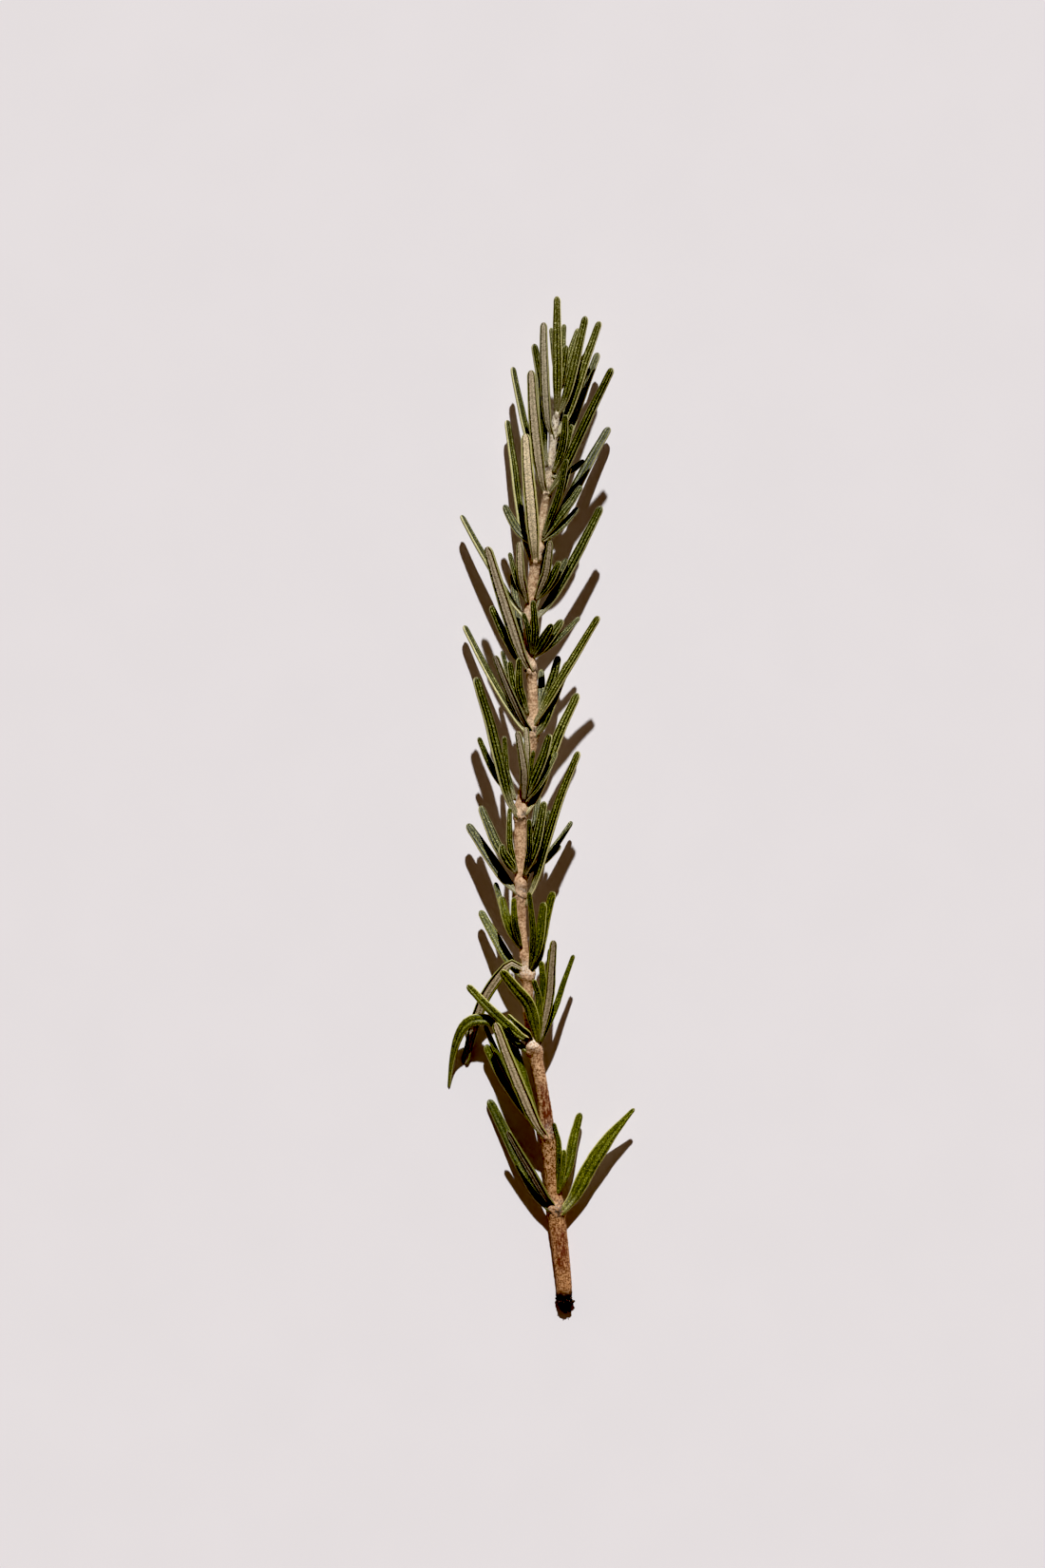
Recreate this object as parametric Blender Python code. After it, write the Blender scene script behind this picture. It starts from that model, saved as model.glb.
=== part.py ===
"""A cut rosemary sprig lying on a table: a woody stem, its leaves and its leafy side shoots.

The sprig lies along +Y with its cut end at -Y, its tip at +Y and the table at Z = 0.
Places are written in millimetres from the cut end, along the table, and scaled to metres.
"""

import math

import bmesh
import bpy
from mathutils import Matrix, Vector

MM = 0.001
SPRIG = "rosemary_sprig"

# The stem's centre line: across, along and above the table, with the radius there, in mm.
STEM_ROUTE = (
    (7.5, 2.4, 1.2, 1.20),
    (6.9, 10.0, 1.35, 1.30),
    (5.9, 18.3, 1.45, 1.33),
    (5.2, 24.0, 2.1, 1.12),
    (4.5, 31.7, 3.3, 1.20),
    (3.6, 39.0, 4.1, 1.00),
    (2.2, 46.5, 4.8, 0.98),
    (1.0, 53.0, 5.4, 0.80),
    (0.9, 60.0, 6.0, 0.86),
    (-0.2, 69.0, 6.7, 0.78),
    (-0.3, 75.5, 7.2, 0.95),
    (-0.3, 88.8, 7.5, 0.98),
    (1.0, 97.0, 7.5, 0.80),
    (1.8, 102.5, 7.5, 0.90),
    (1.6, 113.7, 7.5, 0.84),
    (1.0, 120.0, 7.5, 0.80),
    (1.3, 123.3, 7.5, 0.90),
    (2.3, 132.7, 7.8, 0.86),
    (3.6, 141.0, 8.0, 0.66),
    (4.2, 144.7, 8.1, 0.66),
    (5.0, 150.5, 8.3, 0.58),
    (5.8, 158.0, 8.6, 0.50),
    (6.1, 161.4, 8.75, 0.38),
)
STEM_RINGS = 40
STEM_SIDES = 10

LEAF_SIDES = 8
SHOOT_LEAF_SIDES = 6
LEAF_RINGS = (0.0, 0.12, 0.36, 0.62, 0.86, 0.97)
BENT_LEAF_RINGS = tuple(0.08 * i for i in range(13))
STALK_SHARE = 0.55  # the leaf's foot is this share of its full width
STALK_END = 0.3  # share of the leaf's length where it is full
TIP_BLUNTNESS = 9
SPINE_STEP = 0.02  # share of the leaf's length over which its direction is taken
EDGE_THINNING = 0.25  # how much thinner a leaf is where it is narrow
ROUTE_SHARES = (0.28, 0.55, 0.80)  # where a leaf's midrib is steered, as shares of its length
ROUTE_BOWS = (0.6, 1.0, 0.6)  # and its bow there
START_PULL = 0.03  # how far the leaf follows the way it starts, as a share of its length
FORWARD_LEAN = 1.2  # along the stem, for each part outward
LEAF_THICKNESS = 0.30
THICKNESS_PER_WIDTH = 0.18
LEAF_GAP = 0.12  # between a leaf's foot and the bark

SHOOT_RADIUS = 0.50
SHOOT_TIP_RADIUS = 0.32
SHOOT_GAP = 0.14
SHOOT_LEAN = 0.3  # how much a shoot's leaves start along its stalk
FIRST_LEAF, LEAF_SPAN = 0.2, 0.7  # shares of the stalk: before its first leaf, and to its last
STALK_SIDES = 8
STALK_FACE = (0.3, 0.1, 1.0)
STALK_RINGS = ((0.0, 0.7), (0.15, 1.0), (0.85, 1.0), (1.0, 0.7))  # share of length, of radius

# A leaf is: name, distance along the stem, way round it in degrees (0 is +X, 90 is up),
# its tip in mm, its width in mm, the way its upper face looks in degrees, and its bow in mm.
LEAVES = (
    ("leaf_01_right", 18.4, 12, (19.7, 36.7, 4.3), 2.7, 98, -1.0),
    ("leaf_01_left", 18.6, 165, (-6.0, 38.0, 0.6), 2.2, 80, 0.1),
    ("leaf_01_front", 19.4, 115, (-2.7, 32.8, 5.4), 1.85, 298, 0.2),
    ("leaf_02_front", 31.7, 125, (-4.8, 52.0, 7.0), 2.4, 285, 0.6),
    ("leaf_02_left", 33.4, 175, (-2.4, 50.2, 3.8), 2.15, 60, 0.0),
    ("leaf_02_under", 32.0, 280, (2.4, 48.0, 0.25), 1.4, 90, 0.1),
    ("leaf_03_left", 48.6, 150, (-9.7, 58.5, 6.3), 1.75, 100, 0.4),
    ("leaf_04_left", 60.0, 190, (-7.5, 71.5, 2.6), 1.9, 72, 0.2),
    ("leaf_04_right", 61.0, 20, (5.4, 75.0, 9.2), 1.9, 112, -0.2),
    ("leaf_05_left", 75.2, 195, (-9.7, 86.8, 4.1), 2.1, 66, 0.1),
    ("leaf_05_right", 73.0, 342, (9.8, 99.5, 12.4), 1.85, 132, -0.6),
    ("leaf_06_left", 88.2, 145, (-8.2, 112.5, 9.4), 2.25, 52, -0.3),
    ("leaf_06_right", 88.8, 350, (9.7, 109.7, 9.0), 2.05, 116, -0.4),
    ("leaf_07_left", 102.5, 205, (-10.3, 121.8, 2.3), 1.95, 33, 0.4),
    ("leaf_07_front", 103.0, 125, (-4.8, 116.2, 12.0), 1.6, 290, 0.5),
    ("leaf_07_right", 102.5, 40, (8.2, 115.3, 9.6), 1.95, 110, -0.2),
    ("leaf_07_high", 104.2, 75, (13.3, 123.0, 13.2), 1.75, 130, -0.5),
    ("leaf_08_front", 113.7, 125, (-6.2, 135.2, 11.4), 2.4, 290, 0.3),
    ("leaf_08_left", 114.4, 180, (-5.5, 125.0, 8.6), 1.6, 75, 0.4),
    ("leaf_09_left", 123.0, 200, (-10.8, 141.2, 3.5), 2.05, 26, 0.3),
    ("leaf_09_right", 122.4, 345, (13.8, 142.5, 8.0), 1.95, 120, 0.5),
    ("leaf_10_front", 132.9, 95, (0.5, 154.7, 13.8), 2.4, 272, 0.8),
    ("leaf_10_left", 132.9, 210, (-2.7, 158.0, 2.8), 1.95, 42, 0.1),
    ("leaf_10_right", 135.5, 335, (15.3, 156.8, 2.1), 2.1, 122, -0.2),
    ("leaf_11_front", 144.9, 120, (1.5, 165.8, 13.2), 2.15, 278, 0.7),
    ("leaf_11_left", 147.2, 195, (-1.7, 167.2, 4.5), 1.85, 35, 0.5),
    ("leaf_11_right", 144.5, 40, (15.6, 166.0, 15.0), 1.85, 118, -0.1),
    ("leaf_12_left", 150.0, 160, (2.0, 170.8, 9.2), 1.9, 55, -0.7),
    ("leaf_12_right", 149.6, 320, (13.3, 169.8, 3.6), 1.85, 118, 0.0),
    ("leaf_13_left", 154.7, 135, (3.7, 174.2, 12.4), 1.8, 288, 0.5),
    ("leaf_13_front", 158.8, 85, (6.0, 178.8, 12.0), 1.75, 280, 0.4),
    ("leaf_13_right", 158.4, 43, (11.0, 175.4, 11.4), 1.8, 112, 0.3),
    ("leaf_13_high", 155.0, 340, (13.5, 174.6, 10.4), 1.75, 115, 0.0),
    ("leaf_05_under", 76.0, 300, (2.8, 92.0, 0.05), 1.5, 100, 0.5),
    ("leaf_08_under", 114.0, 245, (-1.8, 131.0, 0.05), 1.4, 80, 0.5),
    ("leaf_09_under", 123.6, 300, (4.4, 140.0, 0.05), 1.3, 100, 0.4),
    ("leaf_11_under", 145.0, 290, (7.4, 161.0, 0.05), 1.3, 95, 0.5),
)

# A bent leaf is: name, width in mm, the way its upper face looks, and the route of its midrib.
BENT_LEAVES = (
    (
        "leaf_04_bent",
        2.1,
        (275, 285, 295, 300),
        (
            (-0.4, 61.3, 6.5),
            (-1.8, 62.4, 6.8),
            (-3.2, 61.3, 6.6),
            (-5.3, 58.4, 5.4),
            (-7.0, 55.4, 4.0),
            (-8.5, 51.2, 2.3),
            (-9.5, 47.4, 1.1),
            (-10.3, 44.2, 0.05),
        ),
    ),
    (
        "leaf_03_drooping",
        2.05,
        (90, 105, 125, 140),
        (
            (0.6, 46.6, 5.3),
            (-1.6, 49.0, 5.2),
            (-4.7, 51.7, 5.0),
            (-7.3, 52.4, 4.8),
            (-9.7, 51.7, 4.3),
            (-11.3, 49.3, 3.2),
            (-12.4, 45.4, 1.6),
            (-13.1, 40.0, 0.05),
        ),
    ),
)

# A side shoot is: name, distance along the stem, way round it, the far end of its own stalk
# in mm, and its leaves, each as share of the stalk, tip, width, face and bow.
SHOOTS = (
    (
        "shoot_01_right",
        20.2,
        40,
        (7.8, 22.6, 3.2),
        (
            (0.3, (10.2, 35.8, 2.2), 1.85, 260, -0.5),
            (0.8, (7.2, 29.4, 3.6), 1.65, 100, 0.2),
            (0.9, (5.5, 34.2, 4.6), 1.05, 110, 0.3),
        ),
    ),
    (
        "shoot_02_left",
        30.6,
        210,
        (2.4, 33.0, 1.9),
        (
            (0.5, (-6.7, 51.3, 3.0), 1.3, 60, 0.3),
            (0.3, (-6.5, 47.8, 2.4), 2.05, 70, 0.3),
        ),
    ),
    (
        "shoot_03_left",
        47.6,
        95,
        (1.4, 50.0, 6.6),
        (
            (0.9, (-2.6, 53.4, 8.0), 1.05, 120, 1.0),
            (0.2, (2.2, 51.6, 8.6), 0.9, 100, 0.2),
        ),
    ),
    (
        "shoot_03_right",
        46.4,
        5,
        (4.3, 50.9, 5.8),
        (
            (1.0, (-3.8, 61.3, 11.2), 2.2, 100, 0.2),
            (0.8, (5.4, 66.5, 10.0), 1.8, 262, 0.0),
            (0.4, (9.0, 63.8, 5.6), 1.1, 100, -0.2),
            (0.5, (4.9, 65.0, 7.4), 1.45, 110, 0.0),
            (0.9, (3.3, 62.8, 8.0), 1.45, 100, 0.0),
            (0.7, (1.9, 59.6, 8.7), 1.3, 95, 0.2),
        ),
    ),
    (
        "shoot_04_left",
        63.4,
        135,
        (-0.7, 65.6, 7.9),
        (
            (0.4, (-4.8, 76.5, 5.0), 1.3, 60, 0.4),
            (0.8, (-3.8, 74.2, 7.8), 1.85, 70, 0.5),
            (1.0, (-1.5, 74.0, 10.0), 1.3, 80, 0.4),
        ),
    ),
    (
        "shoot_04_right",
        59.6,
        60,
        (2.0, 62.0, 7.7),
        (
            (0.6, (3.7, 73.2, 9.6), 1.85, 110, 0.4),
            (1.0, (1.1, 75.0, 11.0), 1.15, 90, 0.5),
        ),
    ),
    (
        "shoot_05_left",
        76.6,
        138,
        (-1.8, 78.8, 8.8),
        (
            (0.4, (-7.4, 90.0, 6.6), 1.85, 65, 0.4),
            (0.8, (-3.7, 83.3, 9.6), 1.85, 75, 0.4),
            (1.0, (-2.2, 89.7, 9.4), 1.15, 80, 0.4),
        ),
    ),
    (
        "shoot_05_right",
        76.0,
        58,
        (0.9, 78.6, 9.2),
        (
            (0.6, (3.8, 90.8, 10.4), 1.85, 110, 0.5),
            (0.3, (4.7, 89.2, 8.0), 1.1, 100, 0.3),
            (1.0, (1.1, 87.7, 11.4), 1.1, 90, 0.5),
        ),
    ),
    (
        "shoot_05_low",
        76.8,
        325,
        (1.6, 78.6, 6.0),
        (
            (0.4, (8.7, 87.2, 2.5), 1.2, 100, 0.4),
            (0.7, (6.7, 83.0, 5.6), 1.3, 120, 0.0),
            (0.9, (4.2, 89.0, 4.6), 1.3, 95, 0.3),
        ),
    ),
    (
        "shoot_06_left",
        89.6,
        200,
        (-2.2, 91.6, 6.8),
        (
            (0.5, (-7.7, 102.0, 7.2), 1.3, 70, 0.4),
            (0.9, (-3.2, 102.2, 7.4), 1.15, 80, 0.2),
        ),
    ),
    (
        "shoot_06_right",
        89.2,
        60,
        (0.9, 91.8, 9.4),
        (
            (0.7, (-0.9, 103.0, 12.6), 1.65, 280, 0.5),
            (1.0, (0.6, 103.7, 11.2), 1.3, 265, 0.3),
            (0.9, (1.9, 99.7, 10.6), 1.1, 95, 0.2),
            (0.6, (4.8, 102.5, 11.0), 1.95, 115, 0.4),
            (0.2, (6.0, 99.3, 9.0), 1.2, 120, 0.3),
        ),
    ),
    (
        "shoot_07_left",
        104.4,
        160,
        (0.2, 106.6, 8.4),
        (
            (0.4, (-3.6, 117.2, 7.0), 1.1, 60, 0.3),
            (0.8, (-2.3, 115.3, 9.2), 1.45, 70, 0.4),
            (1.0, (-0.6, 115.8, 10.6), 1.45, 80, 0.4),
        ),
    ),
    (
        "shoot_07_right",
        104.6,
        320,
        (3.0, 106.8, 6.4),
        (
            (0.6, (6.3, 116.3, 6.6), 1.75, 100, 0.4),
            (0.9, (3.3, 114.0, 3.4), 1.45, 90, 0.2),
        ),
    ),
    (
        "shoot_08_right",
        114.6,
        60,
        (2.3, 116.8, 9.2),
        (
            (0.9, (1.8, 125.9, 10.8), 1.4, 90, 0.3),
            (0.4, (0.1, 123.7, 9.9), 1.1, 85, 0.3),
            (0.7, (7.0, 122.5, 9.6), 1.95, 115, 0.0),
            (1.0, (5.2, 121.7, 11.0), 1.85, 105, 0.0),
            (0.3, (10.0, 123.0, 8.8), 1.15, 120, 0.3),
        ),
    ),
    (
        "shoot_09_left",
        124.0,
        125,
        (0.4, 126.4, 9.2),
        (
            (0.8, (-0.5, 136.0, 12.0), 1.55, 280, 0.5),
            (0.5, (-2.3, 134.3, 9.0), 1.1, 70, 0.3),
        ),
    ),
    (
        "shoot_09_right",
        124.6,
        35,
        (2.8, 126.8, 8.6),
        (
            (0.9, (4.8, 136.2, 12.4), 1.55, 265, 0.5),
            (0.7, (6.5, 132.8, 10.0), 1.55, 110, 0.3),
            (0.4, (7.8, 133.3, 8.2), 1.55, 115, 0.3),
        ),
    ),
    (
        "shoot_10_left",
        134.6,
        180,
        (1.0, 136.4, 7.6),
        (
            (0.5, (-3.2, 142.8, 6.6), 1.65, 70, 0.3),
            (0.9, (1.2, 145.6, 6.0), 1.15, 80, 0.2),
        ),
    ),
    (
        "shoot_10_right",
        134.6,
        35,
        (4.4, 139.0, 9.2),
        (
            (0.3, (6.0, 144.2, 9.4), 1.45, 110, 0.2),
            (0.2, (9.7, 142.2, 7.8), 1.3, 120, 0.3),
            (0.8, (10.3, 146.0, 9.2), 1.55, 115, 0.4),
            (0.9, (7.7, 150.5, 11.6), 1.3, 100, 0.4),
            (1.0, (8.3, 149.2, 9.6), 1.1, 110, 0.3),
        ),
    ),
    (
        "shoot_11_right",
        146.6,
        5,
        (5.8, 148.2, 8.9),
        (
            (0.2, (10.8, 150.6, 7.0), 1.3, 110, 0.3),
            (1.0, (7.5, 158.2, 11.4), 1.4, 100, 0.4),
            (0.8, (8.6, 156.7, 9.4), 1.1, 110, 0.3),
        ),
    ),
)

# The growing tip is one more shoot, on the end of the stem.
APEX = (
    "shoot_13_tip",
    (6.15, 161.95, 8.8),
    (6.5, 164.0, 9.0),
    (
        (0.6, (7.3, 174.3, 8.6), 1.3, 90, 0.2),
        (0.3, (5.0, 173.7, 8.0), 1.2, 80, 0.3),
        (0.5, (9.8, 173.5, 9.0), 1.4, 110, 0.3),
        (0.2, (11.9, 170.0, 6.4), 1.3, 110, 0.3),
        (0.8, (7.6, 170.4, 10.6), 1.6, 95, 0.4),
        (0.9, (5.6, 168.6, 10.2), 1.1, 85, 0.3),
        (0.7, (8.5, 168.2, 9.2), 1.0, 105, 0.2),
    ),
)

OLD_BELOW, YOUNG_ABOVE = 66.0, 149.0  # places along the stem where the leaves' age changes

BARK = ((0.55, 0.36, 0.22), 0.85)
OLD_LEAF = ((0.13, 0.15, 0.03), 0.55)
LEAF = ((0.16, 0.19, 0.04), 0.55)
YOUNG_LEAF = ((0.27, 0.30, 0.08), 0.6)


def clear_scene():
    for thing in list(bpy.data.objects):
        bpy.data.objects.remove(thing, do_unlink=True)


def new_collection(name, parent):
    collection = bpy.data.collections.new(name)
    parent.children.link(collection)
    return collection


def principled(name, colour, roughness):
    material = bpy.data.materials.new(name)
    material.use_nodes = True
    shader = material.node_tree.nodes["Principled BSDF"]
    shader.inputs["Base Color"].default_value = (*colour, 1.0)
    shader.inputs["Roughness"].default_value = roughness
    shader.inputs["Metallic"].default_value = 0.0
    material.diffuse_color = (*colour, 1.0)
    return material


def smooth_route(points, share):
    """The point at this share of a route that passes smoothly through its points."""
    last = len(points) - 1
    at = min(max(share, 0.0), 1.0) * last
    i = min(int(at), last - 1)
    t = at - i
    before, start = points[max(i - 1, 0)], points[i]
    end, after = points[i + 1], points[min(i + 2, last)]
    leave = (end - before) * 0.5
    arrive = (after - start) * 0.5
    return (
        start * (2 * t**3 - 3 * t**2 + 1)
        + leave * (t**3 - 2 * t**2 + t)
        + end * (3 * t**2 - 2 * t**3)
        + arrive * (t**3 - t**2)
    )


def stem_at(along):
    """The stem's centre and radius at this distance along the table."""
    ys = [row[1] for row in STEM_ROUTE]
    i = max(0, min(sum(y <= along for y in ys) - 1, len(ys) - 2))
    part = (along - ys[i]) / (ys[i + 1] - ys[i])
    rows = [Vector((row[0], row[2], row[3])) for row in STEM_ROUTE]
    x, z, radius = smooth_route(rows, (i + part) / (len(rows) - 1))
    return Vector((x, along, z)), radius


def stem_direction(along):
    return (stem_at(along + 0.5)[0] - stem_at(along - 0.5)[0]).normalized()


def outward(degrees):
    angle = math.radians(degrees)
    return Vector((math.cos(angle), 0.0, math.sin(angle)))


def section_frame(place, along, face, half_width, half_thickness):
    """The matrix that lays a unit circle across a spine, flattened towards the way face looks."""
    normal = (face - along * face.dot(along)).normalized()
    side = normal.cross(along)
    turn = Matrix((side, normal, along)).transposed().to_4x4()
    size = Matrix.Diagonal((half_width, half_thickness, 1.0, 1.0))
    return Matrix.Translation(place) @ turn @ size


def loft(frames, sides, tip=None):
    """A closed tube through the frames: one ring of edges, extruded from frame to frame."""
    shape = bmesh.new()
    bmesh.ops.create_circle(shape, segments=sides, radius=1.0, matrix=frames[0])
    ring = shape.edges[:]
    bmesh.ops.holes_fill(shape, edges=ring)
    for before, after in zip(frames, frames[1:]):
        grown = bmesh.ops.extrude_edge_only(shape, edges=ring)["geom"]
        ring = [item for item in grown if isinstance(item, bmesh.types.BMEdge)]
        ends = [item for item in grown if isinstance(item, bmesh.types.BMVert)]
        ring = [edge for edge in ring if all(vert in ends for vert in edge.verts)]
        bmesh.ops.transform(shape, matrix=after @ before.inverted(), verts=ends)
    if tip is None:
        bmesh.ops.holes_fill(shape, edges=ring)
    else:
        bmesh.ops.pointmerge(shape, verts=ends, merge_co=tip)
    bmesh.ops.recalc_face_normals(shape, faces=shape.faces[:])
    return shape


def place_mesh(shape, name, material, collection):
    """Scales a bmesh from millimetres to metres and makes it an object, smooth but for its rims."""
    bmesh.ops.transform(shape, matrix=Matrix.Scale(MM, 4), verts=shape.verts[:])
    mesh = bpy.data.meshes.new(name)
    shape.to_mesh(mesh)
    shape.free()
    mesh.shade_smooth()
    mesh.set_sharp_from_angle(angle=math.radians(50))
    mesh.materials.append(material)
    thing = bpy.data.objects.new(name, mesh)
    collection.objects.link(thing)
    return thing


def make_stem(material, collection):
    """The bark: one closed rod that thins towards the tip and swells at the leaf joints."""
    first, last = STEM_ROUTE[0][1], STEM_ROUTE[-1][1]
    frames = []
    for i in range(STEM_RINGS + 1):
        along = first + (last - first) * i / STEM_RINGS
        centre, radius = stem_at(along)
        direction = stem_direction(along)
        frames.append(section_frame(centre, direction, outward(90), radius, radius))
    return place_mesh(loft(frames, STEM_SIDES), "stem", material, collection)


def leaf_fullness(share):
    """A leaf's width at this share of its length: a narrow foot, a full blade, a blunt tip."""
    rise = min(share / STALK_END, 1.0)
    foot = STALK_SHARE + (1 - STALK_SHARE) * rise * rise * (3 - 2 * rise)
    return foot * math.sqrt(1 - share**TIP_BLUNTNESS)


def leaf_solid(points, width, looks, sides, rings=LEAF_RINGS):
    """A leaf along a smooth route; its upper face looks the way that looks gives, foot to tip."""
    thickness = LEAF_THICKNESS + THICKNESS_PER_WIDTH * width
    frames = []
    for share in rings:
        place = smooth_route(points, share)
        ahead = smooth_route(points, min(share + SPINE_STEP, 1.0))
        behind = smooth_route(points, max(share - SPINE_STEP, 0.0))
        along = (ahead - behind).normalized()
        turn = share * (len(looks) - 1)
        i = min(int(turn), max(len(looks) - 2, 0))
        ahead_look = looks[min(i + 1, len(looks) - 1)]
        look = looks[i] + (ahead_look - looks[i]) * (turn - i)
        full = leaf_fullness(share)
        half_thickness = 0.5 * thickness * (1 - EDGE_THINNING * (1 - full))
        frames.append(
            section_frame(place, along, outward(look), 0.5 * width * full, half_thickness)
        )
    return loft(frames, sides, points[-1])


def leaf_route(foot, start, tip, away, bow):
    """A leaf leaves its foot the way that start points, then bows away from a straight line."""
    reach = tip - foot
    length = reach.length
    lift = away - reach * away.dot(reach) / reach.length_squared
    lift = lift.normalized() if lift.length > 0.05 else Vector((0.0, 0.0, 1.0))
    steered = [
        foot + reach * share + lift * bow * part for share, part in zip(ROUTE_SHARES, ROUTE_BOWS)
    ]
    steered[0] += (start - reach.normalized()) * length * START_PULL
    return [foot, *steered, tip]


def make_leaf(row, material, collection):
    name, along, degrees, tip, width, look, bow = row
    centre, radius = stem_at(along)
    away = outward(degrees)
    half_foot = 0.5 * (LEAF_THICKNESS + THICKNESS_PER_WIDTH * width)
    foot = centre + away * (radius + LEAF_GAP + half_foot)
    start = (away + stem_direction(along) * FORWARD_LEAN).normalized()
    route = leaf_route(foot, start, Vector(tip), away, bow)
    shape = leaf_solid(route, width, (look,), LEAF_SIDES)
    return place_mesh(shape, name, material, collection)


def make_bent_leaf(row, material, collection):
    name, width, looks, points = row
    route = [Vector(point) for point in points]
    shape = leaf_solid(route, width, looks, LEAF_SIDES, BENT_LEAF_RINGS)
    return place_mesh(shape, name, material, collection)


def make_stalk(name, start, end, material, collection):
    """A side shoot's own short stalk, rounded at both ends."""
    along = (end - start).normalized()
    frames = []
    for share, size in STALK_RINGS:
        radius = size * (SHOOT_RADIUS + (SHOOT_TIP_RADIUS - SHOOT_RADIUS) * share)
        place = start.lerp(end, share)
        frames.append(section_frame(place, along, Vector(STALK_FACE), radius, radius))
    return place_mesh(loft(frames, STALK_SIDES), name, material, collection)


def make_shoot(name, degrees, start, end, leaves, material, collection, helpers):
    """A side shoot grows as one piece: its stalk and its young leaves are joined."""
    stalk = make_stalk(name, start, end, material, collection)
    tools = new_collection(name + "_leaves", helpers)
    for i, (share, tip, width, look, bow) in enumerate(leaves):
        foot = start.lerp(end, FIRST_LEAF + LEAF_SPAN * share)
        tip = Vector(tip)
        away = (tip - foot).normalized()
        begin = (away + (end - start).normalized() * SHOOT_LEAN).normalized()
        route = leaf_route(foot, begin, tip, outward(degrees), bow)
        shape = leaf_solid(route, width, (look,), SHOOT_LEAF_SIDES)
        leaf = place_mesh(shape, f"{name}_leaf_{i + 1}", material, tools)
        leaf.hide_render = True
        leaf.display_type = "WIRE"
    joined = stalk.modifiers.new("grown together", "BOOLEAN")
    joined.operation = "UNION"
    joined.solver = "EXACT"
    joined.operand_type = "COLLECTION"
    joined.collection = tools
    return stalk


def main():
    clear_scene()
    scene = bpy.context.scene
    parts = new_collection(SPRIG, scene.collection)
    helpers = new_collection("leaves_to_join", scene.collection)
    bark = principled("bark", *BARK)
    old_leaf = principled("old_leaf", *OLD_LEAF)
    leaf = principled("leaf", *LEAF)
    young_leaf = principled("young_leaf", *YOUNG_LEAF)

    def age_at(along):
        return old_leaf if along < OLD_BELOW else leaf if along < YOUNG_ABOVE else young_leaf

    pieces = [make_stem(bark, parts)]
    pieces += [make_leaf(row, age_at(row[1]), parts) for row in LEAVES]
    pieces += [make_bent_leaf(row, old_leaf, parts) for row in BENT_LEAVES]
    for name, along, degrees, end, leaves in SHOOTS:
        centre, radius = stem_at(along)
        start = centre + outward(degrees) * (radius + SHOOT_GAP + SHOOT_RADIUS)
        end = Vector(end)
        age = age_at(along)
        pieces.append(make_shoot(name, degrees, start, end, leaves, age, parts, helpers))
    name, start, end, leaves = APEX
    start, end = Vector(start), Vector(end)
    pieces.append(make_shoot(name, 90, start, end, leaves, young_leaf, parts, helpers))
    centre_on_footprint(pieces, parts)


def centre_on_footprint(pieces, collection):
    """Hangs every piece on one empty, moved so that the origin is under the sprig's middle."""
    bpy.context.view_layer.update()
    graph = bpy.context.evaluated_depsgraph_get()
    corners = []
    for piece in pieces:
        ready = piece.evaluated_get(graph)
        mesh = ready.to_mesh()
        corners += [vertex.co.copy() for vertex in mesh.vertices]
        ready.to_mesh_clear()
    low = Vector([min(corner[axis] for corner in corners) for axis in range(3)])
    high = Vector([max(corner[axis] for corner in corners) for axis in range(3)])
    root = bpy.data.objects.new(SPRIG, None)
    root.empty_display_size = 0.02
    root.location = (-0.5 * (low.x + high.x), -0.5 * (low.y + high.y), -low.z)
    collection.objects.link(root)
    for piece in pieces:
        piece.parent = root
    for helper in bpy.data.objects:
        if helper.hide_render:
            helper.parent = root


main()
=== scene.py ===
"""The looks of a cut rosemary sprig lying on a table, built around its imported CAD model."""

import bisect
import math
import random

import bmesh
import bpy
import numpy as np
from mathutils import Matrix, Vector, noise


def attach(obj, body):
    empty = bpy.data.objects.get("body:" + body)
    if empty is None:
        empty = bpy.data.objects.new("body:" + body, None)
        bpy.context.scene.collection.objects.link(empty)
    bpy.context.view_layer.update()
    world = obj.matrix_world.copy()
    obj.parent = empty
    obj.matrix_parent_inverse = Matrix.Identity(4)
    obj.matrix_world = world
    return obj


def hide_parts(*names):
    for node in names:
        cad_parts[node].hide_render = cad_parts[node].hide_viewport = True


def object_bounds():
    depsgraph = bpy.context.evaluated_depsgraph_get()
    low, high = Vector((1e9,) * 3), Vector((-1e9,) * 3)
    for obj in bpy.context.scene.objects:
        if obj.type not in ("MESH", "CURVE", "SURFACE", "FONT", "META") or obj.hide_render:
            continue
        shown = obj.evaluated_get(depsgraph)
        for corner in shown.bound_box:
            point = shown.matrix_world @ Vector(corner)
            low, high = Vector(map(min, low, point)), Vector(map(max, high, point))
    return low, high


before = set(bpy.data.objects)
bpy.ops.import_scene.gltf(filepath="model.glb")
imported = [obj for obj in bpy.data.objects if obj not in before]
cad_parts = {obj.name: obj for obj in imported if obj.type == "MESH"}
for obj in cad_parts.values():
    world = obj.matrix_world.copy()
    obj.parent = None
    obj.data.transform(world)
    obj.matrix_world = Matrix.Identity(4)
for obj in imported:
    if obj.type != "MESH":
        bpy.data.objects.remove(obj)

cad_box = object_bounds()
MM = 0.001

# ---------------------------------------------------------------------------- the stem
# A thin woody stem, cut off at the bottom and still soft and downy at the top. It is one
# rod of bark that swells at each leaf joint, with a low ridge running down below each leaf.
# Its line and its thickness are read from the CAD stem, ring by ring.
STEM_COLUMNS, STEM_ROWS = 520, 44
RING_GAP = 1.0 * MM  # rings of the CAD stem lie further apart than this
DIRECTION_STEP = 0.5 * MM  # the stem's direction is taken over this much to each side


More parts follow.
